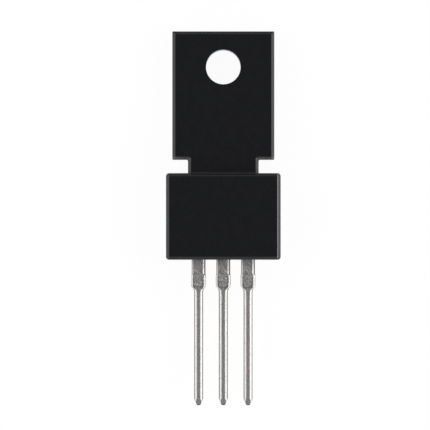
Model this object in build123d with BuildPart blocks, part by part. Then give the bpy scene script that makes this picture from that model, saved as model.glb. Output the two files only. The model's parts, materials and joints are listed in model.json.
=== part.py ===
"""Insulated triac in a fully moulded single-screw power package with three in-line leads.

Black epoxy is moulded in one piece round a copper header, so the tab, the neck and the deeper body
are one casting with a screw hole through it. The middle lead (MT2) is one stamping with the header
that the die is soldered to. The outer leads end in bonding posts inside the body: a soldered copper
clip joins the die to the MT1 post, and an aluminium wire joins the gate pad to the gate post.

Frame: the part lies on its flat back. +X runs across the leads, -Y along them towards their tips,
+Z out of the front face. The origin is on the screw hole's axis, in the plane of the back.
"""

import os

from build123d import *

# ---------------------------------------------------------------- driving sizes, in millimetres

# Moulded case, front view
body_width = 10.65
body_height = 8.05
tab_width = 9.45
tab_height = 11.9
notch_depth = 1.45
notch_height = 1.22
hole_radius = 1.6
hole_to_top = 3.3
body_corner_radius = 0.28
body_face_corner_radius = 0.1
tab_corner_radius = 0.08
notch_corner_radius = 0.14

# Moulded case, side view. The two mould halves meet at the parting plane.
body_depth = 4.5
parting_height = 2.3
tab_land = 0.28
mould_draft = 0.04
bevel_width = 0.27
bevel_depth = 0.22
back_draft = 0.06

# Ejector pin marks in the back
ejector_radius = 0.75
ejector_depth = 0.06
ejector_inset = 2.0

# Leads
lead_pitch = 2.29
lead_length = 13.47
lead_depth = 0.55
shoulder_width = 1.28
shoulder_length = 1.42
shoulder_edge_flat = 0.15
stub_proud = 0.04
stub_length = 1.04
stub_edge_flat = 0.05
taper_length = 0.52
shank_width = 0.83
shank_edge_flat = 0.05
tip_length = 0.62
tip_width = 0.42
tip_depth = 0.2

# Bonding posts at the inner ends of the outer leads
post_height = 1.7
post_cover = 1.25
post_side_wall = 1.7
post_gap = 0.45
post_hole_radius = 0.25

# Copper header, with the middle lead's joggle
header_depth = 0.8
header_back_cover = 0.6
header_side_wall = 1.5
header_top_wall = 0.5
header_to_post = 0.7
joggle_run = 1.2
tab_wall = 0.8
hole_wall = 0.9
ear_rise = 0.6
anchor_hole_radius = 0.6

# Die, with its mesa edges
die_side = 3.0
die_depth = 0.25
die_setback = 0.3
die_offset = 0.4
mesa_width = 0.12
mesa_depth = 0.07

# Solder joints
bond_line = 0.05
solder_margin = 0.1
solder_slope = 45.0

# Copper clip from the die to the MT1 post
clip_depth = 0.2
clip_width = 1.2
clip_foot = 1.1
clip_inset = 0.4
clip_post_inset = 0.2
clip_overhang = 0.25

# Aluminium wire from the gate pad to the gate post
wire_radius = 0.1
wire_rise = 0.5
wire_foot_length = 0.45
wire_foot_width = 0.28
wire_foot_depth = 0.12
gate_pad_inset = 0.5

# ---------------------------------------------------------------- places worked out from the sizes

tab_top_y = hole_to_top
tab_bottom_y = tab_top_y - tab_height
body_top_y = tab_bottom_y - notch_height
body_bottom_y = body_top_y - body_height
body_center_y = (body_top_y + body_bottom_y) / 2
neck_width = tab_width - 2 * notch_depth

tab_bevel_z = parting_height + tab_land
tab_front_z = tab_bevel_z + bevel_depth
body_bevel_z = body_depth - bevel_depth

lead_back_z = parting_height - lead_depth / 2
lead_front_z = parting_height + lead_depth / 2
header_front_z = header_back_cover + header_depth
die_back_z = header_front_z + bond_line
die_front_z = die_back_z + die_depth

post_bottom_y = body_bottom_y + post_cover
post_top_y = post_bottom_y + post_height
post_inner_x = shoulder_width / 2 + post_gap
post_outer_x = body_width / 2 - post_side_wall
post_center_x = (post_inner_x + post_outer_x) / 2
post_center_y = (post_bottom_y + post_top_y) / 2

header_bottom_y = post_top_y + header_to_post
header_top_y = body_top_y - header_top_wall
header_width = body_width - 2 * header_side_wall

die_x = -die_offset
die_bottom_y = header_bottom_y + die_setback
die_y = die_bottom_y + die_side / 2


# ---------------------------------------------------------------- leads


def lead_section(width, depth, edge_flat, y):
    """A lead's cross-section at y, on x = 0. Its coined edges are round up to edge_flat."""
    with BuildSketch(Plane.XZ.offset(-y)) as section:
        with Locations((0, parting_height)):
            RectangleRounded(width, depth, (depth - edge_flat) / 2)
    return section.sketch


def lead_run(width, edge_flat, start_y, end_y):
    """A straight stretch of a lead, from start_y down to end_y."""
    section = lead_section(width, lead_depth, edge_flat, start_y)
    extrude(section, amount=start_y - end_y, dir=(0, -1, 0))


def outer_lead(root_y):
    """A lead from root_y, inside the moulding, to its tip, on x = 0.

    The shoulder ends in the slightly wider stub of the trimmed tie bar. It tapers to a shank whose
    edges are coined almost full round, and the shank ends in a blunt point.
    """
    stub_width = shoulder_width + 2 * stub_proud
    stub_top_y = body_bottom_y - shoulder_length
    stub_bottom_y = stub_top_y - stub_length
    shank_top_y = stub_bottom_y - taper_length
    tip_end_y = body_bottom_y - lead_length
    tip_start_y = tip_end_y + tip_length
    tip_edge_flat = shank_edge_flat * tip_depth / lead_depth
    with BuildPart() as lead:
        lead_run(shoulder_width, shoulder_edge_flat, root_y, stub_top_y)
        lead_run(stub_width, stub_edge_flat, stub_top_y, stub_bottom_y)
        stub_end = lead_section(stub_width, lead_depth, stub_edge_flat, stub_bottom_y)
        shank_start = lead_section(shank_width, lead_depth, shank_edge_flat, shank_top_y)
        loft([stub_end, shank_start])
        lead_run(shank_width, shank_edge_flat, shank_top_y, tip_start_y)
        tip_start = lead_section(shank_width, lead_depth, shank_edge_flat, tip_start_y)
        tip_end = lead_section(tip_width, tip_depth, tip_edge_flat, tip_end_y)
        loft([tip_start, tip_end])
    return lead.part


def post_lead(side):
    """An outer lead on the given side, -1 or 1, with its bonding post and the post's lock hole."""
    with BuildPart() as lead:
        with Locations((side * lead_pitch, 0)):
            add(outer_lead(post_center_y))
        with BuildSketch(Plane.XY.offset(lead_back_z)):
            with Locations((side * post_center_x, post_center_y)):
                Rectangle(post_outer_x - post_inner_x, post_height)
            with Locations((side * (post_outer_x - 2 * post_hole_radius), post_center_y)):
                Circle(post_hole_radius, mode=Mode.SUBTRACT)
        extrude(amount=lead_depth)
    return lead.part


with BuildPart() as mt1_lead:
    add(post_lead(-1))

with BuildPart() as gate_lead:
    add(post_lead(1))

# ---------------------------------------------------------------- header with the middle lead

with BuildPart() as header_and_mt2_lead:
    with BuildSketch(Plane.XY.offset(header_back_cover)):
        with BuildLine():
            ear_bottom_y = tab_bottom_y + tab_wall
            right_side = [
                (header_width / 2, header_bottom_y),
                (header_width / 2, header_top_y),
                (neck_width / 2 - tab_wall, header_top_y),
                (neck_width / 2 - tab_wall, ear_bottom_y),
                (tab_width / 2 - tab_wall, ear_bottom_y),
                (tab_width / 2 - tab_wall, ear_rise),
            ]
            left_side = [(-x, y) for x, y in reversed(right_side)]
            Polyline(*right_side, *left_side, close=True)
        make_face()
        Circle(hole_radius + hole_wall, mode=Mode.SUBTRACT)
        with Locations((0, (ear_bottom_y - hole_radius - hole_wall) / 2)):
            Circle(anchor_hole_radius, mode=Mode.SUBTRACT)
    extrude(amount=header_depth)
    with BuildSketch(Plane.YZ):
        with BuildLine():
            joggle_end_y = header_bottom_y - joggle_run
            Polyline(
                (header_bottom_y, header_back_cover),
                (joggle_end_y, lead_back_z),
                (post_bottom_y, lead_back_z),
                (post_bottom_y, lead_front_z),
                (joggle_end_y, lead_front_z),
                (header_bottom_y, header_front_z),
                close=True,
            )
        make_face()
    extrude(amount=shoulder_width / 2, both=True)
    add(outer_lead(post_bottom_y))

# ---------------------------------------------------------------- die


def mesa_cut(z):
    """Cuts the groove that leaves the die's edge thin, over mesa_depth from z up."""
    with BuildSketch(Plane.XY.offset(z)) as groove:
        with Locations((die_x, die_y)):
            Rectangle(die_side, die_side)
            Rectangle(die_side - 2 * mesa_width, die_side - 2 * mesa_width, mode=Mode.SUBTRACT)
    extrude(groove.sketch, amount=mesa_depth, mode=Mode.SUBTRACT)


with BuildPart() as triac_die:
    with BuildSketch(Plane.XY.offset(die_back_z)):
        with Locations((die_x, die_y)):
            Rectangle(die_side, die_side)
    extrude(amount=die_depth)
    mesa_cut(die_back_z)
    mesa_cut(die_front_z - mesa_depth)

# ---------------------------------------------------------------- clip

clip_die_x = die_x - die_side / 2 + clip_inset + clip_width / 2
clip_die_end_y = die_bottom_y + clip_inset
clip_die_top_y = clip_die_end_y + clip_foot
clip_die_z = die_front_z + bond_line
clip_post_x = -(post_inner_x + clip_post_inset + clip_width / 2)
clip_post_start_y = post_top_y + clip_overhang
clip_post_end_y = post_center_y - clip_foot / 2
clip_post_z = lead_front_z + bond_line

with BuildPart() as mt1_clip:
    with BuildSketch(Plane.YZ):
        with BuildLine():
            Polyline(
                (clip_die_top_y, clip_die_z),
                (clip_die_end_y, clip_die_z),
                (clip_post_start_y, clip_post_z),
                (clip_post_end_y, clip_post_z),
                (clip_post_end_y, clip_post_z + clip_depth),
                (clip_post_start_y, clip_post_z + clip_depth),
                (clip_die_end_y, clip_die_z + clip_depth),
                (clip_die_top_y, clip_die_z + clip_depth),
                close=True,
            )
        make_face()
    extrude(amount=body_width / 2, both=True)
    with BuildSketch(Plane.XY):
        with BuildLine():
            Polyline(
                (clip_die_x - clip_width / 2, clip_die_top_y),
                (clip_die_x + clip_width / 2, clip_die_top_y),
                (clip_die_x + clip_width / 2, clip_die_end_y),
                (clip_post_x + clip_width / 2, clip_post_start_y),
                (clip_post_x + clip_width / 2, clip_post_end_y),
                (clip_post_x - clip_width / 2, clip_post_end_y),
                (clip_post_x - clip_width / 2, clip_post_start_y),
                (clip_die_x - clip_width / 2, clip_die_end_y),
                close=True,
            )
        make_face()
    extrude(amount=body_depth, mode=Mode.INTERSECT)

# ---------------------------------------------------------------- solder joints


def solder_joint(width, length, x, y, z):
    """A thin bed of solder that swells outwards from a joint of width by length, down to z."""
    with BuildPart() as joint:
        with BuildSketch(Plane.XY.offset(z)):
            with Locations((x, y)):
                Rectangle(width + 2 * solder_margin, length + 2 * solder_margin)
        extrude(amount=bond_line, taper=solder_slope)
    return joint.part


with BuildPart() as die_solder:
    mesa_side = die_side - 2 * mesa_width
    add(solder_joint(mesa_side, mesa_side, die_x, die_y, header_front_z))

with BuildPart() as clip_die_solder:
    clip_die_y = clip_die_end_y + clip_foot / 2
    add(solder_joint(clip_width, clip_foot, clip_die_x, clip_die_y, die_front_z))

with BuildPart() as clip_post_solder:
    add(solder_joint(clip_width, clip_foot, clip_post_x, post_center_y, lead_front_z))

# ---------------------------------------------------------------- gate wire

gate_pad = Vector(die_x + die_side / 2 - gate_pad_inset, die_bottom_y + gate_pad_inset, die_front_z)
gate_post_pad = Vector(post_center_x, post_center_y, lead_front_z)
wire_heading = Vector(gate_post_pad.X - gate_pad.X, gate_post_pad.Y - gate_pad.Y, 0).normalized()


def wire_foot(pad):
    """A wedge bond: the wire's end squashed flat on its pad, in line with the wire."""
    with BuildSketch(Plane(origin=pad, x_dir=wire_heading, z_dir=(0, 0, 1))) as foot:
        Rectangle(wire_foot_length, wire_foot_width)
    extrude(foot.sketch, amount=wire_foot_depth)


with BuildPart() as gate_wire:
    wire_foot(gate_pad)
    wire_foot(gate_post_pad)
    with BuildLine() as loop:
        start = gate_pad + Vector(0, 0, wire_radius)
        end = gate_post_pad + Vector(0, 0, wire_radius)
        top = (start + end) / 2
        top.Z = lead_front_z + wire_rise
        ThreePointArc(start, top, end)
    with BuildSketch(Plane(origin=loop.line @ 0, z_dir=loop.line % 0)):
        Circle(wire_radius)
    sweep()

# ---------------------------------------------------------------- moulded case


def tab_outline(z, inset):
    """Outline at z of the tab with its neck, drawn in by inset. The neck runs on into the body."""
    half_tab = tab_width / 2 - inset
    half_neck = neck_width / 2 - inset
    bottom_y = tab_bottom_y + inset
    right_side = [
        (half_neck, body_center_y),
        (half_neck, bottom_y),
        (half_tab, bottom_y),
        (half_tab, tab_top_y - inset),
    ]
    left_side = [(-x, y) for x, y in reversed(right_side)]
    side_radii = [0, notch_corner_radius, tab_corner_radius, tab_corner_radius]
    with BuildSketch(Plane.XY.offset(z)) as outline:
        with BuildLine():
            FilletPolyline(*right_side, *left_side, radius=side_radii + side_radii[::-1], close=True)
        make_face()
    return outline.sketch


def body_outline(z, inset, corner_radius):
    """Outline at z of the body, drawn in by inset."""
    with BuildSketch(Plane.XY.offset(z)) as outline:
        with Locations((0, body_center_y)):
            RectangleRounded(body_width - 2 * inset, body_height - 2 * inset, corner_radius)
    return outline.sketch


inner_pieces = [
    header_and_mt2_lead,
    mt1_lead,
    gate_lead,
    triac_die,
    die_solder,
    mt1_clip,
    clip_die_solder,
    clip_post_solder,
    gate_wire,
]

with BuildPart() as moulded_case:
    loft(
        [
            tab_outline(0, back_draft),
            tab_outline(parting_height, 0),
            tab_outline(tab_bevel_z, 0),
            tab_outline(tab_front_z, bevel_width),
        ],
        ruled=True,
    )
    loft(
        [
            body_outline(0, back_draft, body_corner_radius),
            body_outline(parting_height, 0, body_corner_radius),
            body_outline(body_bevel_z, mould_draft, body_corner_radius),
            body_outline(body_depth, mould_draft + bevel_width, body_face_corner_radius),
        ],
        ruled=True,
    )
    with BuildSketch():
        Circle(hole_radius)
    extrude(amount=tab_front_z, mode=Mode.SUBTRACT)
    with BuildSketch():
        ejector_x = body_width / 2 - ejector_inset
        with Locations((-ejector_x, body_center_y), (ejector_x, body_center_y)):
            Circle(ejector_radius)
    extrude(amount=ejector_depth, mode=Mode.SUBTRACT)
    add([piece.part for piece in inner_pieces], mode=Mode.SUBTRACT)

# ---------------------------------------------------------------- one STEP file for each piece

pieces = {
    "moulded_case": moulded_case,
    "header_and_mt2_lead": header_and_mt2_lead,
    "mt1_lead": mt1_lead,
    "gate_lead": gate_lead,
    "triac_die": triac_die,
    "die_solder": die_solder,
    "mt1_clip": mt1_clip,
    "clip_die_solder": clip_die_solder,
    "clip_post_solder": clip_post_solder,
    "gate_wire": gate_wire,
}

os.makedirs("parts", exist_ok=True)
for name, piece in pieces.items():
    piece.part.label = name
    export_step(piece.part, f"parts/{name}.step")
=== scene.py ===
"""Finishes a fully moulded three-lead power package.

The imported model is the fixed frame: the part lies on its back, +X across the leads, -Y along them
and +Z out of the front, with the origin on the screw hole's axis. The case gets its rounded edges
and matt epoxy skin, the leads their coined, tin-plated form, and the pieces sealed inside the case
get their metals. Lengths are in metres.
"""

import json
import math

import bmesh
import bpy
from bpy.props import FloatProperty, FloatVectorProperty, PointerProperty
from mathutils import Matrix, Vector


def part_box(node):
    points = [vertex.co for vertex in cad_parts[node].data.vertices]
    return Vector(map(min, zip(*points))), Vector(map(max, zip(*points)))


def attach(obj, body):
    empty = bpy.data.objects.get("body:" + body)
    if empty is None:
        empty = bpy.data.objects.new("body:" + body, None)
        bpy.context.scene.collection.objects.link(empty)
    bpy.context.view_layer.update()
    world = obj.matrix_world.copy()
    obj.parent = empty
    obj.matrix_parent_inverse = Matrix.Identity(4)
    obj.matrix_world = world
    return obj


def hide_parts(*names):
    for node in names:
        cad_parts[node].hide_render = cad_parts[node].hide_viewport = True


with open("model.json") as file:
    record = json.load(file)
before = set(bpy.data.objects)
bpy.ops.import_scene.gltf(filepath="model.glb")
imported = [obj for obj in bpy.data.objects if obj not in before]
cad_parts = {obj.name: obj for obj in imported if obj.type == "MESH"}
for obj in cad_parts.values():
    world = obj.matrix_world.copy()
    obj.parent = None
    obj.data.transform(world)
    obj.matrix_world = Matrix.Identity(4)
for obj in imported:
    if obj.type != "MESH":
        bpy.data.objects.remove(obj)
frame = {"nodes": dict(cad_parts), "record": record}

bl_info = {
    "name": "Moulded power package",
    "version": (1, 0, 0),
    "blender": (4, 5, 0),
    "location": "View3D > Sidebar > Package",
    "description": "Moulds the case, coins the leads and sets the stage of a power package",
    "category": "Mesh",
}

MM = 0.001
WHITE = (1, 1, 1, 1)
BODY = "root"
MOUNTS = {mount["name"]: mount for mount in frame["record"]["mounts"]}
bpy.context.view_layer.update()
CASE_LOW, CASE_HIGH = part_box("moulded_case")
LEAD_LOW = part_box("gate_lead")[0]
LEAD_HEIGHT = MOUNTS["lead_row"]["pos_m"][2]
TAB_FRONT = MOUNTS["mounting_hole"]["dims"]["length_mm"] * MM


# ---------------------------------------------------------------- what a user may change


def length(name, description, millimetres):
    """A length property, with its default given in millimetres."""
    return FloatProperty(
        name=name, description=description, default=millimetres * MM, unit="LENGTH", precision=5
    )


def colour(name, description, red, green, blue):
    """A colour property, with its default in linear light."""
    return FloatVectorProperty(
        name=name,
        description=description,
        default=(red, green, blue),
        subtype="COLOR",
        min=0,
        max=1,
    )


def amount(name, description, default, **limits):
    """A property that is a plain number."""
    return FloatProperty(name=name, description=description, default=default, **limits)


def in_words(setting):
    """A setting's name as it is shown, such as Tip width for tip_width."""
    return setting.replace("_", " ").capitalize()


class CaseSizes(bpy.types.PropertyGroup):
    """The moulded case's outline, bevels, radii and ejector marks."""

    tab_width: length("Tab width", "Width of the tab at the parting plane", 9.45)
    tab_height: length("Tab height", "From the tab's top edge to the notches", 11.9)
    notch_depth: length("Notch depth", "How far each notch cuts in beside the neck", 1.45)
    body_height: length("Body height", "From the notches to the face the leads leave", 8.05)
    back_draft: length("Back draft", "How far the mould's draft draws in the back", 0.06)
    front_draft: length("Front draft", "How far the body is drawn in where its bevel starts", 0.04)
    bevel_width: length("Bevel width", "Width of the front bevels, seen from the front", 0.27)
    bevel_depth: length("Bevel depth", "Depth of the front bevels", 0.22)
    root_recess: length("Root recess", "How far the body's wall is set back over the neck", 0.18)
    root_fillet: length("Root fillet", "Radius between the neck's front and the body", 0.42)
    edge_radius: length("Edge radius", "Rounding of every moulded edge", 0.035)
    body_corner: length("Body corner radius", "Radius of the body's upright corners", 0.28)
    body_face_corner: length("Body face corner radius", "Radius of the body's front corners", 0.1)
    tab_corner: length("Tab corner radius", "Radius of the tab's upright corners", 0.08)
    notch_corner: length("Notch corner radius", "Radius of the notches' inner corners", 0.14)
    ejector_radius: length("Ejector mark radius", "Radius of the pin marks in the back", 0.75)
    ejector_depth: length("Ejector mark depth", "Depth of the pin marks in the back", 0.06)
    ejector_inset: length("Ejector mark inset", "From the body's side to a pin mark's centre", 2.0)


class LeadSizes(bpy.types.PropertyGroup):
    """One lead's form, from the case to its tip."""

    thickness: length("Thickness", "Thickness of the leadframe", 0.55)
    shoulder_width: length("Shoulder width", "Width of the lead where it leaves the case", 1.28)
    shoulder_length: length("Shoulder length", "From the case to the tie bar's stub", 1.31)
    shoulder_land: length("Shoulder land", "Width of the flat top of the shoulder", 0.83)
    shoulder_flank: length("Shoulder flank", "How far the shoulder's sheared sides lean out", 0.083)
    shoulder_shift: length("Shoulder shift", "How far the shoulder's flat is off its middle", 0.055)
    stub_width: length("Stub width", "Width across the trimmed tie bar's stubs", 1.34)
    stub_length: length("Stub length", "Length of the trimmed tie bar's stub", 1.15)
    stub_land: length("Stub land", "Width of the flat top of the stub", 0.91)
    stub_shift: length("Stub shift", "How far the stub's flat is off its middle", 0.02)
    press: length("Press", "How much thinner the stub is pressed than the rest", 0.03)
    taper_length: length("Taper length", "From the stub to the shank", 0.52)
    taper_land: length("Taper land", "Width of the flat top where the taper starts", 0.34)
    shank_width: length("Shank width", "Width of the part that goes through the board", 0.83)
    shank_land: length("Shank land", "Width of the flat top of the shank", 0.22)
    shank_flank: length("Shank flank", "How far the shank's sides lean out", 0.03)
    tip_length: length("Tip length", "Length of the blunt point", 0.62)
    tip_width: length("Tip width", "Width of the point's end", 0.31)
    tip_thickness: length("Tip thickness", "Thickness of the point's end", 0.18)
    tip_radius: length("Tip radius", "Rounding of the point's end", 0.08)
    root_length: length("Root length", "How far the finished lead runs on inside the case", 0.3)
    # The dull band is thin plating on the sheared sides and painted shade
    sheared_height: length("Sheared height", "Height of the dull sheared band on the sides", 0.24)
    # How far the leads are darkened from the case
    darkening_length: length("Stain length", "How far resin bleed stains the lead from the case", 1.0)


class Finishes(bpy.types.PropertyGroup):
    """The colours of every finish."""

    epoxy: colour("Epoxy", "Black moulding compound", 0.0015, 0.0017, 0.0029)
    # Rubbed notch edges, whose paler colour is also a painted highlight
    rubbed_highlight: colour("Rubbed epoxy", "Notch edges where flash was broken off", 0.11, 0.108, 0.104)
    # A painted highlight along the body's right front edge
    painted_edge_highlight: colour("Scuffed epoxy", "Line along the body's right front edge", 0.17, 0.166, 0.16)
    tin: colour("Tin", "Matt tin plating", 0.68, 0.67, 0.655)
    tin_dull: colour("Dull tin", "Tin in the pits of the plating", 0.5, 0.49, 0.485)
    tin_pit: colour("Pitted tin", "Tin in the deepest pits of the worked flats", 0.27, 0.26, 0.26)
    # Thin plating on the sheared sides, darkened further as painted shade
    sheared_and_shaded: colour("Sheared tin", "Thin plating on the leads' sheared sides", 0.165, 0.16, 0.16)
    # The colour the leads darken towards near the case
    darkening: colour("Stain", "Resin bleed on the leads at the case", 0.13, 0.108, 0.093)
    copper: colour("Copper", "Bare copper of the clip", 0.78, 0.4, 0.25)
    copper_dull: colour("Dull copper", "Copper stained by the mould's heat", 0.42, 0.2, 0.14)
    silicon: colour("Silicon", "The die's bare silicon", 0.1, 0.11, 0.13)
    die_metal: colour("Die metal", "Nickel pads on the die", 0.6, 0.58, 0.54)
    solder: colour("Solder", "Solder beds", 0.5, 0.5, 0.51)
    wire: colour("Wire", "Aluminium of the gate wire", 0.8, 0.8, 0.81)
    floor: colour("Floor", "The stage's floor", 0.95, 0.95, 0.95)


class StageSizes(bpy.types.PropertyGroup):
    """The camera's framing and the light. Slants are measured from upright."""

    framed_width: length("Framed width", "Width of the camera's view at the case", 39.86)
    framed_x: length("Framed centre X", "The view's centre, across from the screw hole", -0.77)
    framed_y: length("Framed centre Y", "The view's centre, along from the screw hole", -13.71)
    lens: length("Lens", "Focal length of the camera", 500)
    overhead: amount("Overhead light", "Light from straight above", 0.12, min=0)
    sides: amount("Side light", "Light that the soft side panels add", 1.75, min=0)
    front: amount("Front light", "Light that the panel beyond the leads adds", 0.6, min=0)
    back: amount("Back light", "Light that the panel beyond the tab adds", 0.4, min=0)
    ends_start: amount("Ends start", "Sine of the slant where light from both ends starts", 0.6)
    lean: amount("Lean", "How much more light comes from the right", 0.17)
    panel_start: amount("Panel start", "Sine of the slant where side light starts", 0.15)
    panel_end: amount("Panel end", "Sine of the slant where side light is full", 0.6)


# ---------------------------------------------------------------- node graphs


class Value:
    """A number socket in a node graph that can be used in sums."""

    def __init__(self, graph, socket):
        self.graph = graph
        self.socket = socket

    def __add__(self, other):
        return self.graph.maths("ADD", self, other)

    def __sub__(self, other):
        return self.graph.maths("SUBTRACT", self, other)

    def __rsub__(self, other):
        return self.graph.maths("SUBTRACT", other, self)

    def __mul__(self, other):
        return self.graph.maths("MULTIPLY", self, other)

    def __truediv__(self, other):
        return self.graph.maths("DIVIDE", self, other)

    def __pow__(self, other):
        return self.graph.maths("POWER", self, other)

    __radd__ = __add__
    __rmul__ = __mul__


class Graph:
    """Adds nodes to a shader or geometry tree."""

    def __init__(self, tree):
        self.tree = tree

    def node(self, kind, settings=None, values=None):
        """A node of this type, with its settings set, then its sockets, by value or by link."""
        made = self.tree.nodes.new(kind)
        for name, setting in (settings or {}).items():
            setattr(made, name, setting)
        for name, value in (values or {}).items():
            socket = made.inputs[name]
            if isinstance(value, Value):
                value = value.socket
            if isinstance(value, bpy.types.NodeSocket):
                self.tree.links.new(value, socket)
            else:
                socket.default_value = value
        return made

    def maths(self, operation, *values):
        """The result of one operation on these values."""
        made = self.node("ShaderNodeMath", {"operation": operation}, dict(enumerate(values)))
        return Value(self, made.outputs[0])

    def ramp(self, value, start, end, interpolation="LINEAR"):
        """0 up to start, 1 from end on."""
        made = self.node(
            "ShaderNodeMapRange",
            {"interpolation_type": interpolation},
            {"Value": value, "From Min": start, "From Max": end},
        )
        return Value(self, made.outputs["Result"])

    def fall(self, value, start, end, interpolation="LINEAR"):
        """1 up to start, 0 from end on."""
        return 1 - self.ramp(value, start, end, interpolation)

    def band(self, value, rise, fall):
        """1 between rise and fall and 0 outside them. Each is where a change starts and ends."""
        return self.ramp(value, *rise) * self.fall(value, *fall)

    def mixed(self, factor, first, second):
        """The first shader node where factor is 0, and the second where it is 1."""
        values = {0: factor, 1: first.outputs[0], 2: second.outputs[0]}
        return self.node("ShaderNodeMixShader", values=values)

    def limited(self, value, limit):
        """The value, kept between plus and minus the limit."""
        return self.maths("MAXIMUM", self.maths("MINIMUM", value, limit), limit * -1)

    def where(self, share, value, otherwise):
        """The value where share is over 0, and otherwise the other."""
        started = self.maths("GREATER_THAN", share, 0)
        return otherwise + (value - otherwise) * started

    def parts(self, vector):
        """The X, Y and Z of a vector socket."""
        made = self.node("ShaderNodeSeparateXYZ", values={0: vector})
        return [Value(self, output) for output in made.outputs]


class Finish(Graph):
    """A material's graph, on a Principled shader and Object coordinates."""

    def __init__(self, name, **shader_values):
        self.material = bpy.data.materials.new(name)
        self.material.use_nodes = True
        super().__init__(self.material.node_tree)
        self.tree.nodes.clear()
        self.shader = self.node("ShaderNodeBsdfPrincipled", values=shader_values)
        surface = {"Surface": self.shader.outputs[0]}
        self.output = self.node("ShaderNodeOutputMaterial", values=surface)
        self.place = self.node("ShaderNodeTexCoord").outputs["Object"]

    def stretched(self, times, turn=0.0):
        """The place for a pattern that is this many times longer along Y, or along a turned Y."""
        made = self.node(
            "ShaderNodeMapping",
            {"vector_type": "TEXTURE"},
            {"Vector": self.place, "Rotation": (0, 0, turn), "Scale": (1, times, 1)},
        )
        return made.outputs["Vector"]

    def noise(self, grain, detail=2, place=None):
        """Noise with features about as large as grain, in metres, from 0 to 1."""
        made = self.node(
            "ShaderNodeTexNoise",
            values={"Vector": place or self.place, "Scale": 1 / grain, "Detail": detail},
        )
        return Value(self, made.outputs["Fac"])

    def pits(self, grain):
        """Distance to the nearest of scattered points about a grain apart."""
        values = {"Vector": self.place, "Scale": 1 / grain}
        made = self.node("ShaderNodeTexVoronoi", values=values)
        return Value(self, made.outputs["Distance"])

    def blend(self, factor, first, second):
        """first where factor is 0, and second where it is 1. Both are colours."""
        made = self.node("ShaderNodeMix", {"data_type": "RGBA"})
        self.tree.links.new(factor.socket, made.inputs[0])
        for socket, value in ((made.inputs[6], first), (made.inputs[7], second)):
            if isinstance(value, bpy.types.NodeSocket):
                self.tree.links.new(value, socket)
            else:
                socket.default_value = (*value, 1)
        return made.outputs[2]

    def bump(self, height, distance, below=None):
        """The normal that a height from 0 to 1 gives, over another bump if there is one."""
        values = {"Height": height, "Distance": distance}
        if below is not None:
            values["Normal"] = below
        return self.node("ShaderNodeBump", values=values).outputs["Normal"]

    def wear(self, **sockets):
        """Links what changes over the surface to the shader."""
        for name, value in sockets.items():
            socket = value.socket if isinstance(value, Value) else value
            self.tree.links.new(socket, self.shader.inputs[name.replace("_", " ")])
        return self.material


# ---------------------------------------------------------------- finishes


def shaded(base, times, more=0.0):
    """A colour made this many times as bright, with a little more in each channel."""
    return tuple(channel * times + more for channel in base)


MOULD_GRAIN = 0.05 * MM
MOULD_GRAIN_RELIEF = 0.0025 * MM
FILLER_GRAIN = 0.11 * MM
FLOW_GRAIN = 0.9 * MM
FLOW_RELIEF = 0.003 * MM
NOTCH_EDGE = (-0.03 * MM, 0.03 * MM)
RUBBED_HIGHLIGHT_GRAIN = 0.3 * MM
HIGHLIGHT_RISE = (-0.045 * MM, -0.025 * MM)
HIGHLIGHT_FALL = (0.04 * MM, 0.06 * MM)
HIGHLIGHT_GRAIN = 0.5 * MM


def epoxy_finish(colours, sizes):
    """Black silica-filled epoxy with the fine grain of its mould. The notch edges are rubbed
    rougher and painted paler as a highlight, and a painted highlight runs along the body's right
    front edge.
    """
    finish = Finish("moulded_epoxy")
    across, along, height = finish.parts(finish.place)
    grain = finish.noise(MOULD_GRAIN, 3)
    flow = finish.noise(FLOW_GRAIN, 4)
    filler = finish.pits(FILLER_GRAIN)
    pale = shaded(colours.epoxy, 1.5, 0.0008)
    black = finish.blend(flow * 0.6 + grain * 0.4, colours.epoxy, pale)

    # The bevels over the two notches, along the tab's bottom edge, rubbed rougher and painted paler
    # as a highlight
    width, depth = sizes.bevel_width, sizes.bevel_depth
    from_neck = finish.maths("ABSOLUTE", across) - (sizes.tab_width / 2 - sizes.notch_depth)
    up_bevel = along - (CASE_HIGH.y - sizes.tab_height)
    down_bevel = TAB_FRONT - height
    rubbed_highlight = finish.ramp(from_neck, -width, 0)
    rubbed_highlight = rubbed_highlight * finish.band(up_bevel, NOTCH_EDGE, (width * 0.6, width * 1.2))
    rubbed_highlight = rubbed_highlight * finish.fall(down_bevel, depth, depth * 1.2)
    rubbed_highlight = rubbed_highlight * finish.ramp(finish.noise(RUBBED_HIGHLIGHT_GRAIN, 3), 0.2, 0.5)

    # The edge between the body's front and its right bevel, where a pale line is a painted
    # highlight
    from_edge = across - (CASE_HIGH.x - sizes.front_draft - width)
    painted_edge_highlight = finish.band(from_edge, HIGHLIGHT_RISE, HIGHLIGHT_FALL)
    painted_edge_highlight = painted_edge_highlight * finish.ramp(height, CASE_HIGH.z - depth, CASE_HIGH.z - depth / 2)
    painted_edge_highlight = painted_edge_highlight * finish.ramp(finish.noise(HIGHLIGHT_GRAIN, 3), 0.1, 0.4)

    shade = finish.blend(rubbed_highlight, black, colours.rubbed_highlight)
    shade = finish.blend(painted_edge_highlight, shade, colours.painted_edge_highlight)
    rough = 0.22 + flow * 0.04 + grain * 0.06 + rubbed_highlight * 0.3
    coarse = finish.bump(flow, FLOW_RELIEF)
    fine = finish.bump(grain * 0.7 + filler * 0.3, MOULD_GRAIN_RELIEF, below=coarse)
    return finish.wear(Base_Color=shade, Roughness=rough, Normal=fine)


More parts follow.
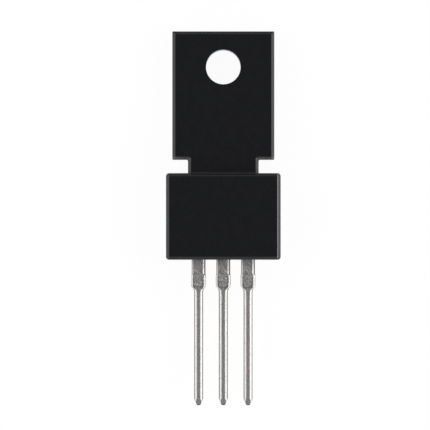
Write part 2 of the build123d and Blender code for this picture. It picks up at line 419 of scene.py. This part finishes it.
MOTTLE_GRAIN = 0.17 * MM
SPECKLE_GRAIN = 0.08 * MM
GRIT_GRAIN = 0.15 * MM
KNURL_GRAIN = 0.19 * MM
DRAWN_GRAIN = 0.05 * MM
DRAWN_STRETCH = 16
DRAWN_RELIEF = 0.004 * MM
STROKE_GRAIN = 0.1 * MM
STROKE_STRETCH = 7
STROKE_TURN = math.radians(38)
TIN_RELIEF = 0.028 * MM
STUB_START_BLEND = 0.1 * MM
STUB_END_BLEND = 0.3 * MM
SHEARED_BLEND = 0.03 * MM
FLAT_BLEND = 0.04 * MM
RIM_GRAIN = 0.25 * MM
RIM_RISE = (-0.12 * MM, -0.04 * MM)
RIM_FALL = (0.02 * MM, 0.07 * MM)
RIM_STARTS = -0.4 * MM
RIM_IS_FULL = -0.1 * MM
STEP_SHADE_AT = -0.03 * MM
STEP_SHADE_FALL = (0.02 * MM, 0.08 * MM)
DARKENING_START = -0.1 * MM


def pad_rim_and_shade(finish, out, off_lane, at_stub, on_flat, sizes):
    """The broken dark rim round the stub's flat, partly a press mark and partly painted shade of
    the pressed step, and a line of painted shade across the stub's start.
    """
    stub_start = sizes.shoulder_length
    stub_end = stub_start + sizes.stub_length
    beside = finish.maths("MAXIMUM", off_lane - (sizes.stub_land / 2 - PAD_CORNER), 0)
    below = finish.maths("MAXIMUM", out - (stub_end + PAD_LIP - PAD_CORNER), 0)
    from_pad = finish.maths("SQRT", beside * beside + below * below) - PAD_CORNER
    rim = finish.band(from_pad, RIM_RISE, RIM_FALL) * at_stub
    rim = rim * finish.ramp(out, stub_start + RIM_STARTS, stub_end + RIM_IS_FULL)
    from_start = finish.maths("ABSOLUTE", out - (stub_start + STEP_SHADE_AT))
    step_shade = finish.fall(from_start, *STEP_SHADE_FALL) * on_flat * 0.6
    broken = finish.ramp(finish.noise(RIM_GRAIN, 2), 0.25, 0.55)
    return finish.maths("MAXIMUM", rim, step_shade) * broken * 0.75


def tin_finish(colours, sizes, pitch):
    """Matt tin: mottled, scored and pressed on the flats, thin on the sheared sides with painted
    shade there, and darker towards the case.
    """
    finish = Finish("matt_tin", Metallic=1.0)
    across, along, height = finish.parts(finish.place)
    across = across + (sizes.shoulder_shift + sizes.stub_shift) / 2
    out = CASE_LOW.y - along
    mottle = finish.noise(MOTTLE_GRAIN, 4)
    speckle = finish.noise(SPECKLE_GRAIN, 2)
    drawn = finish.noise(DRAWN_GRAIN, 2, finish.stretched(DRAWN_STRETCH))
    strokes = finish.noise(STROKE_GRAIN, 2, finish.stretched(STROKE_STRETCH, STROKE_TURN))
    knurl = finish.noise(KNURL_GRAIN, 3)

    # Where on the lead each place is
    stub_start = sizes.shoulder_length
    stub_end = stub_start + sizes.stub_length
    at_stub = finish.ramp(out, stub_start, stub_start + STUB_START_BLEND)
    coined = at_stub - finish.ramp(out, stub_end, stub_end + STUB_END_BLEND)
    at_shoulder = 1 - at_stub
    # The dull band along the sides' middle: sheared plating, darkened also as painted shade
    off_middle = finish.maths("ABSOLUTE", height - LEAD_HEIGHT)
    sheared_end = sizes.sheared_height / 2
    sheared_and_shaded = finish.fall(off_middle, sheared_end, sheared_end + SHEARED_BLEND)
    in_lane = finish.maths("WRAP", across, pitch / 2, pitch / -2)
    off_lane = finish.maths("ABSOLUTE", in_lane)
    pad_half = sizes.stub_land / 2
    on_flat = finish.fall(off_lane, pad_half - FLAT_BLEND, pad_half + FLAT_BLEND)
    land_left = sizes.shoulder_land / -2
    torn = finish.fall(in_lane, land_left, land_left + FLAT_BLEND)
    rim = pad_rim_and_shade(finish, out, off_lane, at_stub, on_flat, sizes)

    # The plating's colour, from the deepest layer of wear to the darkening towards the case on top
    patches = finish.ramp(mottle * 0.6 + speckle * 0.4, 0.36, 0.64)
    plated = finish.blend(patches, colours.tin_dull, colours.tin)
    grit = finish.ramp(finish.noise(GRIT_GRAIN, 3), 0.42, 0.6)
    scored = finish.ramp(strokes, 0.42, 0.6)
    worked = grit * (0.2 + coined * 0.5 + at_shoulder * 0.1) + scored * at_shoulder * 0.45
    pitting = worked * on_flat + coined * (1 - on_flat) * 0.2 + torn * at_shoulder * 0.35
    pitted = finish.blend(pitting, plated, colours.tin_pit)
    # Painted shade at the pad's rim and across the stub's start
    rimmed_and_shaded = finish.blend(rim, pitted, colours.sheared_and_shaded)
    sided = finish.blend(sheared_and_shaded, rimmed_and_shaded, colours.sheared_and_shaded)
    # Darker towards the case
    darkened = finish.fall(out, DARKENING_START, sizes.darkening_length, "SMOOTHSTEP")
    darkened = darkened * (0.2 + on_flat * 0.13)
    shade = finish.blend(darkened, sided, colours.darkening)
    rough = 0.2 + speckle * 0.16 + drawn * 0.06 + sheared_and_shaded * 0.2 + darkened * 0.1

    streaks = finish.bump(drawn, DRAWN_RELIEF)
    relief = mottle * 0.4 + speckle * 0.35 + at_shoulder * strokes * 1.15 + coined * knurl * 1.6
    skin = finish.bump(relief, TIN_RELIEF, below=streaks)
    return finish.wear(Base_Color=shade, Roughness=rough, Normal=skin)


HEAT_STAIN_GRAIN = 0.5 * MM
ROLLED_GRAIN = 0.03 * MM
ROLLED_STRETCH = 20
ROLLED_RELIEF = 0.003 * MM


def copper_finish(colours):
    """Bare copper strip with rolling lines and heat stains."""
    finish = Finish("bare_copper", Metallic=1.0)
    darkening = finish.ramp(finish.noise(HEAT_STAIN_GRAIN, 4), 0.4, 0.7)
    rolled = finish.noise(ROLLED_GRAIN, 2, finish.stretched(ROLLED_STRETCH))
    shade = finish.blend(darkening, colours.copper, colours.copper_dull)
    return finish.wear(
        Base_Color=shade,
        Roughness=0.28 + rolled * 0.12 + darkening * 0.15,
        Normal=finish.bump(rolled, ROLLED_RELIEF),
    )


FROST_GRAIN = 0.04 * MM
FROST_RELIEF = 0.006 * MM


def solder_finish(colours):
    """Frosty solder, puddled while it cooled."""
    finish = Finish("solder", Metallic=1.0)
    frost = finish.noise(FROST_GRAIN, 3)
    return finish.wear(
        Base_Color=finish.blend(frost, colours.solder, shaded(colours.solder, 1.25)),
        Roughness=0.3 + frost * 0.25,
        Normal=finish.bump(frost, FROST_RELIEF),
    )


WIRE_GRAIN = 0.02 * MM
WIRE_RELIEF = 0.002 * MM


def wire_finish(colours):
    """Drawn aluminium wire."""
    finish = Finish("aluminium_wire", Metallic=1.0)
    die_lines = finish.noise(WIRE_GRAIN, 2)
    return finish.wear(
        Base_Color=finish.blend(die_lines, shaded(colours.wire, 0.85), colours.wire),
        Roughness=0.2 + die_lines * 0.15,
        Normal=finish.bump(die_lines, WIRE_RELIEF),
    )


MOAT_WIDTH = 0.16 * MM
DIE_GRAIN = 0.05 * MM
DIE_RELIEF = 0.002 * MM


def die_finish(colours):
    """Silicon with nickel pads on its faces and a dark glass moat round them."""
    low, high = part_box("triac_die")
    middle = (low + high) / 2
    finish = Finish("silicon_die", **{"Coat Weight": 0.3})
    x, y, _ = finish.parts(finish.place)
    inside_x = (high.x - low.x) / 2 - finish.maths("ABSOLUTE", x - middle.x)
    inside_y = (high.y - low.y) / 2 - finish.maths("ABSOLUTE", y - middle.y)
    edge = finish.maths("MINIMUM", inside_x, inside_y)
    pad = finish.ramp(edge, MOAT_WIDTH * 0.9, MOAT_WIDTH * 1.1)
    grain = finish.noise(DIE_GRAIN, 3)
    return finish.wear(
        Base_Color=finish.blend(pad, colours.silicon, colours.die_metal),
        Metallic=pad,
        Roughness=0.12 + pad * (0.2 + grain * 0.15),
        Normal=finish.bump(grain, DIE_RELIEF),
    )


FLOOR_WHITENESS = 0.955
PAPER_GRAIN = 2 * MM


def floor_finish(colours):
    """White floor that the camera and reflections see as lit white, with a little of its shadow.

    It is clear from beneath, so that the part's back can be seen.
    """
    finish = Finish("white_floor", Roughness=0.9)
    paper = finish.noise(PAPER_GRAIN, 2)
    finish.wear(Base_Color=finish.blend(paper, shaded(colours.floor, 0.99), colours.floor))
    rays = finish.node("ShaderNodeLightPath").outputs
    seen = finish.maths("MAXIMUM", rays["Is Camera Ray"], rays["Is Glossy Ray"])
    seen = finish.maths("MAXIMUM", seen, rays["Is Transmission Ray"])
    white = finish.node("ShaderNodeEmission", values={"Color": WHITE, "Strength": 1.0})
    lit = finish.mixed(seen * FLOOR_WHITENESS, finish.shader, white)
    beneath = finish.node("ShaderNodeNewGeometry").outputs["Backfacing"]
    clear = finish.node("ShaderNodeBsdfTransparent")
    one_sided = finish.mixed(beneath, lit, clear)
    finish.tree.links.new(one_sided.outputs[0], finish.output.inputs["Surface"])
    return finish.material


# ---------------------------------------------------------------- meshes


def rounded(corners, radii, steps, closed=True):
    """The points of an outline whose corners are rounded, each by steps chords.

    A radius of 0 leaves a corner sharp, and an open outline keeps its two ends.
    """
    points = []
    for index, (corner, radius) in enumerate(zip(corners, radii)):
        corner = Vector(corner)
        if radius == 0 or not closed and index in (0, len(corners) - 1):
            points.append(corner)
            continue
        to_previous = (Vector(corners[index - 1]) - corner).normalized()
        to_next = (Vector(corners[(index + 1) % len(corners)]) - corner).normalized()
        half_angle = to_previous.angle(to_next) / 2
        centre = corner + (to_previous + to_next).normalized() * radius / math.sin(half_angle)
        reach = radius / math.tan(half_angle)
        start = (corner + to_previous * reach - centre).normalized()
        end = (corner + to_next * reach - centre).normalized()
        for step in range(steps + 1):
            points.append(centre + start.slerp(end, step / steps) * radius)
    return points


def mesh_of(name, shape):
    """A mesh of a bmesh shape, which is freed."""
    mesh = bpy.data.meshes.new(name)
    shape.to_mesh(mesh)
    shape.free()
    return mesh


def stacked_mesh(name, rings):
    """A closed mesh through rings of points that run anticlockwise, from the lowest ring up."""
    shape = bmesh.new()
    loops = [[shape.verts.new(point) for point in ring] for ring in rings]
    for lower, upper in zip(loops, loops[1:]):
        for index in range(len(lower)):
            after = (index + 1) % len(lower)
            shape.faces.new((lower[index], lower[after], upper[after], upper[index]))
    shape.faces.new(reversed(loops[0]))
    shape.faces.new(loops[-1])
    return mesh_of(name, shape)


def shown(name, mesh):
    """An object at the origin for this mesh."""
    piece = bpy.data.objects.new(name, mesh)
    bpy.context.scene.collection.objects.link(piece)
    return piece


def plain_mesh(piece):
    """The piece's mesh with its modifiers applied."""
    evaluated = piece.evaluated_get(bpy.context.evaluated_depsgraph_get())
    return bpy.data.meshes.new_from_object(evaluated)


def carved(base, tools):
    """The base mesh joined with or cut by each (operation, mesh) in turn."""
    blank = shown("blank", base)
    helpers = []
    for operation, mesh in tools:
        helper = shown("helper", mesh)
        helpers.append(helper)
        modifier = blank.modifiers.new(operation, "BOOLEAN")
        modifier.operation = operation
        modifier.solver = "MANIFOLD"
        modifier.object = helper
    result = plain_mesh(blank)
    for used in [blank, *helpers]:
        bpy.data.objects.remove(used)
    return result


def smoothed(mesh, degrees):
    """Smooth shading, with edges sharper than this left sharp."""
    mesh.shade_smooth()
    mesh.set_sharp_from_angle(angle=math.radians(degrees))
    return mesh


def coat(mesh, material):
    """Gives a mesh this one material."""
    mesh.materials.clear()
    mesh.materials.append(material)


def dress(piece, material, slot, *nodes):
    """Gives a piece its material and its place in the frame."""
    coat(piece.data, material)
    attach(piece, BODY)
    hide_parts(*nodes)


# ---------------------------------------------------------------- case

SCALE_UP = 1 / MM
CORNER_STEPS = 6
EDGE_STEPS = 3
FILLET_STEPS = 20
HOLE_SIDES = 128
EJECTOR_SIDES = 64
QUARTER_ROUND = 0.3  # how far a rounding's middle lies in from its sides, as a share of its radius
ROOT_OVERLAP = 0.003 * MM
CASE_SHARP_ANGLE = 5


def wall_levels(sizes, front_draft, bevel_start, front):
    """(inset, height) pairs up a moulded wall, from the back face to the front face."""
    edge = sizes.edge_radius
    face_inset = front_draft + sizes.bevel_width
    corners = [
        (sizes.back_draft + 2 * edge, 0),
        (sizes.back_draft, 0),
        (0, LEAD_HEIGHT),
        (front_draft, bevel_start),
        (face_inset, front),
        (face_inset + 2 * edge, front),
    ]
    return rounded(corners, [0, edge, 0, edge, edge, 0], EDGE_STEPS, closed=False)


def tab_mesh(sizes):
    """The tab with its neck, which runs on into the body."""
    front = TAB_FRONT
    top = CASE_HIGH.y
    bottom = top - sizes.tab_height
    inner_end = CASE_LOW.y + sizes.body_height / 2
    radii = [0, sizes.notch_corner, sizes.tab_corner, sizes.tab_corner]
    rings = []
    for inset, height in wall_levels(sizes, 0, front - sizes.bevel_depth, front):
        half_tab = sizes.tab_width / 2 - inset
        half_neck = half_tab - sizes.notch_depth
        right = [
            (half_neck, inner_end),
            (half_neck, bottom + inset),
            (half_tab, bottom + inset),
            (half_tab, top - inset),
        ]
        left = [(-x, y) for x, y in reversed(right)]
        outline = rounded(right + left, radii + radii[::-1], CORNER_STEPS)
        rings.append([(point.x, point.y, height) for point in outline])
    return stacked_mesh("tab", rings)


def body_mesh(sizes):
    """The deeper body."""
    front = CASE_HIGH.z
    bottom = CASE_LOW.y
    top = bottom + sizes.body_height
    half_width = CASE_HIGH.x
    bevel_start = front - sizes.bevel_depth
    rings = []
    for inset, height in wall_levels(sizes, sizes.front_draft, bevel_start, front):
        right = [(half_width - inset, bottom + inset), (half_width - inset, top - inset)]
        left = [(-x, y) for x, y in reversed(right)]
        above_bevel = max(0, height - bevel_start) / (front - bevel_start)
        corner = sizes.body_corner + (sizes.body_face_corner - sizes.body_corner) * above_bevel
        outline = rounded(right + left, [corner] * 4, CORNER_STEPS)
        rings.append([(point.x, point.y, height) for point in outline])
    return stacked_mesh("body", rings)


def root_bar(sizes, profile):
    """A bar across the neck's flat front, through the (Y, Z) points of this profile."""
    half_width = sizes.tab_width / 2 - sizes.notch_depth - sizes.bevel_width
    ends = [[(x, y, z) for y, z in profile] for x in (-half_width, half_width)]
    return stacked_mesh("root", ends)


def recess_cutter(sizes):
    """Sets the body's wall back over the neck."""
    edge = CASE_LOW.y + sizes.body_height
    low, high = TAB_FRONT + sizes.edge_radius / 2, CASE_HIGH.z * 2
    back, front = edge - sizes.root_recess, edge + sizes.root_recess
    return root_bar(sizes, [(front, low), (front, high), (back, high), (back, low)])


def root_fillet(sizes):
    """The fillet between the neck's front and the wall over it."""
    radius = sizes.root_fillet
    wall = CASE_LOW.y + sizes.body_height - sizes.root_recess - ROOT_OVERLAP
    floor = TAB_FRONT - ROOT_OVERLAP
    profile = []
    for step in range(FILLET_STEPS + 1):
        turn = math.pi / 2 * step / FILLET_STEPS
        from_wall = radius * (1 - math.sin(turn))
        from_floor = radius * (1 - math.cos(turn))
        profile.append((wall + from_wall, floor + from_floor))
    profile.append((wall - radius, floor + radius))
    profile.append((wall - radius, floor - radius))
    profile.append((wall + radius, floor - radius))
    return root_bar(sizes, profile)


def round_cutter(centre_x, centre_y, levels, sides):
    """A round tool through the (radius, height) levels."""
    turns = [2 * math.pi * side / sides for side in range(sides)]
    rings = []
    for radius, height in levels:
        circle = [(radius * math.cos(turn), radius * math.sin(turn)) for turn in turns]
        rings.append([(centre_x + x, centre_y + y, height) for x, y in circle])
    return stacked_mesh("cutter", rings)


def hole_cutter(sizes):
    """Cuts the screw hole, with its two mouths just broken."""
    radius = MOUNTS["mounting_hole"]["dims"]["r_mm"] * MM
    edge = sizes.edge_radius
    broken = edge * QUARTER_ROUND
    levels = [
        (radius + edge, -edge),
        (radius + edge, 0),
        (radius + broken, broken),
        (radius, edge),
        (radius, TAB_FRONT - edge),
        (radius + broken, TAB_FRONT - broken),
        (radius + edge, TAB_FRONT),
        (radius + edge, TAB_FRONT + edge),
    ]
    return round_cutter(0, 0, levels, HOLE_SIDES)


def ejector_cutter(sizes, side):
    """Cuts one of the two ejector pin marks in the back."""
    centre_x = side * (CASE_HIGH.x - sizes.ejector_inset)
    centre_y = MOUNTS["mounting_face"]["pos_m"][1]
    radius = sizes.ejector_radius
    depth = sizes.ejector_depth
    broken = depth * QUARTER_ROUND
    levels = [(radius, -depth), (radius, depth - broken), (radius - broken, depth)]
    return round_cutter(centre_x, centre_y, levels, EJECTOR_SIDES)


def case_mesh(sizes):
    """The whole moulding's outside. It is carved a thousand times as big, and brought back."""
    tools = [
        ("UNION", body_mesh(sizes)),
        ("DIFFERENCE", recess_cutter(sizes)),
        ("UNION", root_fillet(sizes)),
        ("DIFFERENCE", hole_cutter(sizes)),
        ("DIFFERENCE", ejector_cutter(sizes, -1)),
        ("DIFFERENCE", ejector_cutter(sizes, 1)),
    ]
    base = tab_mesh(sizes)
    for mesh in [base] + [tool for _, tool in tools]:
        mesh.transform(Matrix.Scale(SCALE_UP, 4))
    mesh = carved(base, tools)
    mesh.transform(Matrix.Scale(MM, 4))
    return smoothed(mesh, CASE_SHARP_ANGLE)


class PACKAGE_OT_case(bpy.types.Operator):
    """Mould the black case"""

    bl_idname = "package.case"
    bl_label = "Mould the case"

    def execute(self, context):
        sizes = context.scene.package_case
        material = epoxy_finish(context.scene.package_finishes, sizes)
        case = shown("epoxy_case", case_mesh(sizes))
        dress(case, material, "epoxy", "moulded_case")
        return {"FINISHED"}


# ---------------------------------------------------------------- leads

# The settings in LeadSizes that are inputs of the lead tree
LEAD_TREE_SETTINGS = (
    "thickness",
    "shoulder_width",
    "shoulder_length",
    "shoulder_land",
    "shoulder_flank",
    "shoulder_shift",
    "stub_width",
    "stub_length",
    "stub_land",
    "stub_shift",
    "press",
    "taper_length",
    "taper_land",
    "shank_width",
    "shank_land",
    "shank_flank",
    "tip_length",
    "tip_width",
    "tip_thickness",
    "tip_radius",
)

# How the tube that becomes a lead is divided. A flat spans two sides each way from its middle.
LEAD_STATIONS = 320
LEAD_SIDES = 56
END_CROWDING = 0.6
FLAT_SHARE = math.sin(2 * 2 * math.pi / LEAD_SIDES)
FLAT_MARGIN = 0.03 * MM
SIGN_BLEND = 0.01

# The press tool's marks
STEP_LENGTH = 0.06 * MM
STUB_BULGE = 0.04 * MM
TAPER_FLARE = 1.8
PAD_LIP = 0.08 * MM
PAD_CORNER = 0.2 * MM
PAD_OPENING = 0.3 * MM
LAND_NARROWING = 0.9 * MM
TIP_ROUNDING = 0.6

# How much of half the thickness is rounded at the lead's edges
SHOULDER_EDGE = 0.5
STUB_EDGE = 0.65
SHANK_EDGE = 0.9

SHANK_SAMPLE = 2 * MM  # how much of a shank, from its tip, is looked at for its lane
WELD_DISTANCE = 1e-4 * MM
LEAD_SHARP_ANGLE = 30


def lead_tree(material):
    """A geometry tree that shapes a tube into one coined lead, lying along Y."""
    tree = bpy.data.node_groups.new("coined_lead", "GeometryNodeTree")
    placing = ("Lane", "Height", "Root", "Case face", "Tip")
    for name in (*placing, *map(in_words, LEAD_TREE_SETTINGS)):
        tree.interface.new_socket(name=name, in_out="INPUT", socket_type="NodeSocketFloat")
    tree.interface.new_socket(name="Lead", in_out="OUTPUT", socket_type="NodeSocketGeometry")
    graph = Graph(tree)
    given = {
        socket.name: Value(graph, socket)
        for socket in graph.node("NodeGroupInput").outputs
        if socket.name
    }

    tube = graph.node(
        "GeometryNodeMeshCylinder",
        {"fill_type": "NGON"},
        {"Vertices": LEAD_SIDES, "Side Segments": LEAD_STATIONS, "Radius": 1, "Depth": 1},
    )
    cosine, sine, rise = graph.parts(graph.node("GeometryNodeInputPosition").outputs[0])

    share = rise + 0.5
    crowded = share - graph.maths("SINE", share * (2 * math.pi)) * (END_CROWDING / (2 * math.pi))
    run = crowded * (given["Root"] - given["Tip"])
    out = run - (given["Root"] - given["Case face"])
    stub_start = given["Shoulder length"]
    stub_end = stub_start + given["Stub length"]
    lead_length = given["Case face"] - given["Tip"]

    at_stub = graph.ramp(out, stub_start, stub_start + STEP_LENGTH)
    along_stub = graph.ramp(out, stub_start, stub_end)
    bulge = graph.maths("SINE", along_stub * math.pi) * STUB_BULGE
    past_stub = graph.ramp(out, stub_end - STEP_LENGTH, stub_end + STEP_LENGTH)
    tapering = graph.ramp(out, stub_end, stub_end + given["Taper length"])
    at_shank = 1 - (1 - tapering) ** TAPER_FLARE
    opening = graph.ramp(out, stub_end + PAD_LIP, stub_end + PAD_LIP + PAD_OPENING, "SMOOTHSTEP")
    narrowing = graph.ramp(out, stub_end, stub_end + LAND_NARROWING)

    def along(shoulder, stub, shank, shank_share):
        """A size that changes at the stub's two ends."""
        return shoulder + (stub - shoulder) * at_stub + (shank - stub) * shank_share

    width = along(given["Shoulder width"], given["Stub width"], given["Shank width"], at_shank)
    width = width + bulge
    past_land = given["Taper land"] + (given["Shank land"] - given["Taper land"]) * narrowing
    land = along(given["Shoulder land"], given["Stub land"], past_land, opening)
    flank = along(given["Shoulder flank"], 0, given["Shank flank"], opening)
    shift = along(given["Shoulder shift"], given["Stub shift"], 0, opening)
    thickness = given["Thickness"] - given["Press"] * (at_stub - past_stub)
    edge = along(SHOULDER_EDGE, STUB_EDGE, SHANK_EDGE, opening) * thickness / 2
    side_height = thickness / 2 - edge

    side = graph.ramp(cosine, -SIGN_BLEND, SIGN_BLEND) * 2 - 1
    level = graph.ramp(sine, -SIGN_BLEND, SIGN_BLEND) * 2 - 1
    sideways = graph.maths("ABSOLUTE", cosine)
    rounding = graph.ramp(sideways, FLAT_SHARE, 1)
    upright = graph.maths("SQRT", 1 - rounding * rounding)
    flat = land / 2 - (1 - graph.ramp(sideways, FLAT_SHARE / 2, FLAT_SHARE)) * FLAT_MARGIN
    leaning = flank + side * shift / 2
    across = side * (flat + rounding * ((width - land) / 2 - leaning + side * shift)) - shift
    upward = level * (side_height + upright * edge)
    lean = 1 - graph.ramp(graph.maths("ABSOLUTE", upward), 0, side_height)
    across = across + side * lean * leaning

    at_tip = graph.ramp(out, lead_length - given["Tip length"], lead_length)
    closing = graph.ramp(out, lead_length - given["Tip radius"], lead_length)
    blunting = given["Tip radius"] * (1 - graph.maths("SQRT", 1 - closing * closing))
    widest = (given["Shank width"] + (given["Tip width"] - given["Shank width"]) * at_tip) / 2
    across = across * (widest * 2 / given["Shank width"]) ** TIP_ROUNDING
    thickest = (thickness + (given["Tip thickness"] - thickness) * at_tip) / 2
    across = graph.limited(across, graph.where(at_tip, widest - blunting, width))
    upward = graph.limited(upward, graph.where(at_tip, thickest - blunting, thickness))

    place = graph.node(
        "ShaderNodeCombineXYZ",
        values={0: given["Lane"] + across, 1: given["Root"] - run, 2: given["Height"] + upward},
    )
    shaped = graph.node(
        "GeometryNodeSetPosition",
        values={"Geometry": tube.outputs["Mesh"], "Position": place.outputs[0]},
    )
    real = graph.node("GeometryNodeRealizeInstances", values={"Geometry": shaped.outputs[0]})
    coated = graph.node(
        "GeometryNodeSetMaterial", values={"Geometry": real.outputs[0], "Material": material}
    )
    graph.node("NodeGroupOutput", values={0: coated.outputs[0]})
    return tree


def lead_lane(node):
    """The X of the middle of a lead's shank."""
    vertices = frame["nodes"][node].data.vertices
    shank = [vertex.co.x for vertex in vertices if vertex.co.y < LEAD_LOW.y + SHANK_SAMPLE]
    return (min(shank) + max(shank)) / 2


def lead_mesh(tree, lane, sizes):
    """The outer lead in this lane, as a plain mesh."""
    given = {in_words(setting): getattr(sizes, setting) for setting in LEAD_TREE_SETTINGS}
    given["Lane"] = float(lane)
    given["Height"] = LEAD_HEIGHT
    given["Root"] = CASE_LOW.y + sizes.root_length
    given["Case face"] = CASE_LOW.y
    given["Tip"] = LEAD_LOW.y
    holder = shown("lead_holder", bpy.data.meshes.new("empty"))
    modifier = holder.modifiers.new("Lead", "NODES")
    modifier.node_group = tree
    for item in tree.interface.items_tree:
        if item.in_out == "INPUT":
            modifier[item.identifier] = given[item.name]
    mesh = plain_mesh(holder)
    bpy.data.objects.remove(holder)
    return mesh


def inner_end(node, cut_y):
    """A copy of what a CAD node has inside the case, above cut_y, closed where it is cut."""
    shape = bmesh.new()
    shape.from_mesh(frame["nodes"][node].data)
    bmesh.ops.remove_doubles(shape, verts=shape.verts, dist=WELD_DISTANCE)
    everything = shape.verts[:] + shape.edges[:] + shape.faces[:]
    cut = bmesh.ops.bisect_plane(
        shape, geom=everything, plane_co=(0, cut_y, 0), plane_no=(0, -1, 0), clear_outer=True
    )
    rim = [part for part in cut["geom_cut"] if isinstance(part, bmesh.types.BMEdge)]
    bmesh.ops.contextual_create(shape, geom=rim)
    return shape


def whole_lead(name, tree, node, lane, sizes):
    """The finished outer lead together with its inner end."""
    shape = inner_end(node, CASE_LOW.y + sizes.root_length)
    shape.from_mesh(lead_mesh(tree, lane, sizes))
    bmesh.ops.dissolve_degenerate(shape, dist=WELD_DISTANCE, edges=shape.edges)
    return shown(name, smoothed(mesh_of(name, shape), LEAD_SHARP_ANGLE))


class PACKAGE_OT_leads(bpy.types.Operator):
    """Coin and plate the three leads"""

    bl_idname = "package.leads"
    bl_label = "Coin the leads"

    def execute(self, context):
        sizes = context.scene.package_leads
        pitch = lead_lane("gate_lead")
        material = tin_finish(context.scene.package_finishes, sizes, pitch)
        tree = lead_tree(material)
        for name, node, lane in (
            ("mt1_lead_tinned", "mt1_lead", -pitch),
            ("mt2_lead_and_header_tinned", "header_and_mt2_lead", 0),
            ("gate_lead_tinned", "gate_lead", pitch),
        ):
            lead = whole_lead(name, tree, node, lane, sizes)
            dress(lead, material, "tinned_copper", node)
        return {"FINISHED"}


# ---------------------------------------------------------------- pieces sealed in the case


class PACKAGE_OT_inside(bpy.types.Operator):
    """Finish the die, its solder beds, the clip and the gate wire"""

    bl_idname = "package.inside"
    bl_label = "Finish the inside"

    def execute(self, context):
        colours = context.scene.package_finishes
        solder = solder_finish(colours)
        finishes = {
            "triac_die": die_finish(colours),
            "die_solder": solder,
            "clip_die_solder": solder,
            "clip_post_solder": solder,
            "mt1_clip": copper_finish(colours),
            "gate_wire": wire_finish(colours),
        }
        for node, material in finishes.items():
            coat(frame["nodes"][node].data, material)
        return {"FINISHED"}


# ---------------------------------------------------------------- stage

FLOOR_LIFT = 0.002 * MM
FLOOR_RADIUS = 3
FLOOR_SIDES = 96
CAMERA_REACH = 100


def studio_light(sizes):
    """Soft light, dim overhead, bright at both sides and fainter at both ends.

    The camera sees plain white.
    """
    world = bpy.data.worlds.new("studio")
    world.use_nodes = True
    graph = Graph(world.node_tree)
    world.node_tree.nodes.clear()
    across, along, _ = graph.parts(graph.node("ShaderNodeTexCoord").outputs["Generated"])
    sideways = graph.maths("ABSOLUTE", across)
    side_panels = graph.ramp(sideways, sizes.panel_start, sizes.panel_end, "SMOOTHSTEP")
    front_panel = graph.ramp(along * -1, sizes.ends_start, 1, "SMOOTHSTEP") * sizes.front
    back_panel = graph.ramp(along, sizes.ends_start, 1, "SMOOTHSTEP") * sizes.back
    strength = side_panels * (1 + across * sizes.lean) * sizes.sides + sizes.overhead
    strength = graph.maths("MAXIMUM", strength, front_panel + back_panel + sizes.overhead)
    light = graph.node("ShaderNodeBackground", values={"Color": WHITE, "Strength": strength})
    seen = graph.node("ShaderNodeBackground", values={"Color": WHITE, "Strength": 1.0})
    camera_ray = graph.node("ShaderNodeLightPath").outputs["Is Camera Ray"]
    mixed = graph.mixed(camera_ray, light, seen)
    graph.node("ShaderNodeOutputWorld", values={"Surface": mixed.outputs[0]})
    bpy.context.scene.world = world


def overhead_camera(sizes):
    """A long lens straight above the part, with the tab at the top of its view."""
    data = bpy.data.cameras.new("camera")
    data.lens = sizes.lens / MM
    data.clip_end = CAMERA_REACH
    camera = bpy.data.objects.new("camera", data)
    distance = sizes.framed_width * data.lens / data.sensor_width
    camera.location = (sizes.framed_x, sizes.framed_y, distance + CASE_HIGH.z / 2)
    bpy.context.scene.collection.objects.link(camera)
    bpy.context.scene.camera = camera


def floor_piece(colours):
    """A wide round floor, a hair above the part's back so that the two don't coincide."""
    shape = bmesh.new()
    raised = Matrix.Translation((0, 0, FLOOR_LIFT))
    bmesh.ops.create_circle(
        shape, cap_ends=True, segments=FLOOR_SIDES, radius=FLOOR_RADIUS, matrix=raised
    )
    mesh = mesh_of("floor", shape)
    coat(mesh, floor_finish(colours))
    return shown("floor", mesh)


class PACKAGE_OT_stage(bpy.types.Operator):
    """Lay the floor and place the light and the camera"""

    bl_idname = "package.stage"
    bl_label = "Set the stage"

    def execute(self, context):
        floor_piece(context.scene.package_finishes)
        studio_light(context.scene.package_stage)
        overhead_camera(context.scene.package_stage)
        context.scene.view_settings.view_transform = "Standard"
        return {"FINISHED"}


# ---------------------------------------------------------------- add-on


class PACKAGE_PT_panel(bpy.types.Panel):
    """Lists the steps and the sizes and colours they use"""

    bl_idname = "PACKAGE_PT_panel"
    bl_label = "Moulded power package"
    bl_space_type = "VIEW_3D"
    bl_region_type = "UI"
    bl_category = "Package"

    def draw(self, context):
        for step in STEPS:
            self.layout.operator(step.bl_idname)
        for group in SETTINGS:
            box = self.layout.box()
            box.label(text=in_words(group))
            settings = getattr(context.scene, group)
            for name in settings.__annotations__:
                box.prop(settings, name)


STEPS = (PACKAGE_OT_case, PACKAGE_OT_leads, PACKAGE_OT_inside, PACKAGE_OT_stage)
SETTINGS = {
    "package_case": CaseSizes,
    "package_leads": LeadSizes,
    "package_finishes": Finishes,
    "package_stage": StageSizes,
}


def register():
    for group in (*SETTINGS.values(), *STEPS, PACKAGE_PT_panel):
        bpy.utils.register_class(group)
    for name, group in SETTINGS.items():
        setattr(bpy.types.Scene, name, PointerProperty(type=group))


def unregister():
    for name in SETTINGS:
        delattr(bpy.types.Scene, name)
    for group in (PACKAGE_PT_panel, *STEPS, *SETTINGS.values()):
        bpy.utils.unregister_class(group)


def main():
    register()
    bpy.ops.package.case()
    bpy.ops.package.leads()
    bpy.ops.package.inside()
    bpy.ops.package.stage()


if __name__ == "__main__":
    main()
